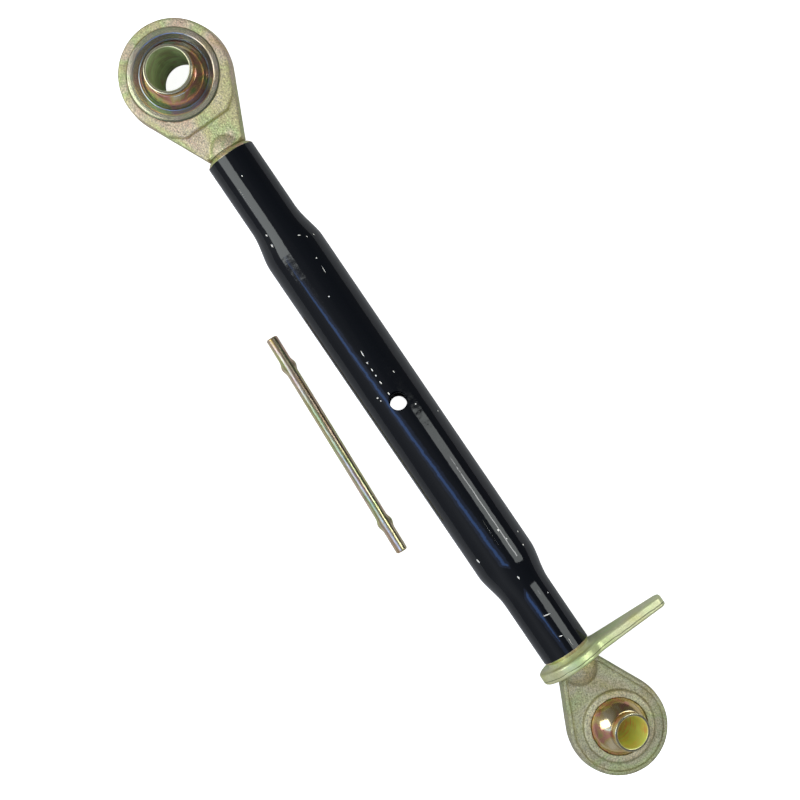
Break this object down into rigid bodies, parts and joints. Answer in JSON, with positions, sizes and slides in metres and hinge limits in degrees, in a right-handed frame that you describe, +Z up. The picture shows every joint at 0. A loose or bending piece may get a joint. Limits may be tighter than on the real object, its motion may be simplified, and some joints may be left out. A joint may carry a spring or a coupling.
{
  "type": "tractor top link",
  "caption": "Turnbuckle top link: swaged tube barrel, a forged ball-joint rod end screwed into each mouth, a lever lock nut and a loose tommy bar.",
  "frame": {"origin": "on the barrel's axis where the tommy bar hole crosses it, at mid-length", "axes": "+X along the barrel to the implement end with the lock nut; +Z up with the link lying on its side; +Y to the side the lock lever points to"},
  "size_m": [0.5345, 0.1182, 0.0534],
  "materials": {
    "barrel_paint": "gloss black paint",
    "forging_zinc": "yellow zinc plate on a rough forging",
    "ball_zinc": "glossy iridescent yellow zinc plate",
    "ring_zinc": "turned steel, clear zinc plate",
    "bar_zinc": "drawn bar, yellow zinc plate"
  },
  "bodies": {
    "barrel": {"barrel": "barrel_paint"},
    "tractor_screw": {"tractor_shank": "forging_zinc"},
    "tractor_rod_end": {"tractor_eye": "forging_zinc", "tractor_retaining_ring": "ring_zinc"},
    "tractor_ball": {"tractor_ball": "ball_zinc"},
    "implement_screw": {"implement_shank": "forging_zinc"},
    "implement_rod_end": {"implement_eye": "forging_zinc", "implement_retaining_ring": "ring_zinc"},
    "implement_ball": {"implement_ball": "ball_zinc"},
    "lock_nut": {"lock_nut": "forging_zinc"},
    "tommy_bar": {"tommy_bar": "bar_zinc"}
  },
  "joints": [
    {"name": "tractor_slide", "type": "slide", "parent": "barrel", "child": "tractor_screw", "axis": [-1, 0, 0], "range_m": [0, 0.12]},
    {"name": "tractor_turn", "type": "hinge", "parent": "tractor_screw", "child": "tractor_rod_end", "pos_m": [-0.1825, 0, 0], "axis": [1, 0, 0], "range_deg": [0, 13610]},
    {"name": "tractor_swivel", "type": "hinge", "parent": "tractor_rod_end", "child": "tractor_ball", "pos_m": [-0.2363, 0, 0], "axis": [0, 0.9969, 0.0785], "range_deg": [-15.5, 20.5]},
    {"name": "implement_slide", "type": "slide", "parent": "barrel", "child": "implement_screw", "axis": [1, 0, 0], "range_m": [0, 0.12]},
    {"name": "implement_turn", "type": "hinge", "parent": "implement_screw", "child": "implement_rod_end", "pos_m": [0.191, 0, 0], "axis": [1, 0, 0], "range_deg": [0, 13610]},
    {"name": "implement_swivel", "type": "hinge", "parent": "implement_rod_end", "child": "implement_ball", "pos_m": [0.2334, 0, 0], "axis": [-0.6157, 0.7861, -0.055], "range_deg": [-33.1, 2.9]},
    {"name": "lock_nut_turn", "type": "hinge", "parent": "barrel", "child": "lock_nut", "pos_m": [0.181, 0, 0], "axis": [1, 0, 0], "range_deg": [0, 360]},
    {"name": "tommy_bar_lift", "type": "slide", "parent": "barrel", "child": "tommy_bar", "axis": [0, 0, 1], "range_m": [0, 0.08]}
  ],
  "couplings": [
    {"joint": "tractor_turn", "follows": "tractor_slide", "rad_per_m": 1979},
    {"joint": "implement_turn", "follows": "implement_slide", "rad_per_m": 1979}
  ]
}
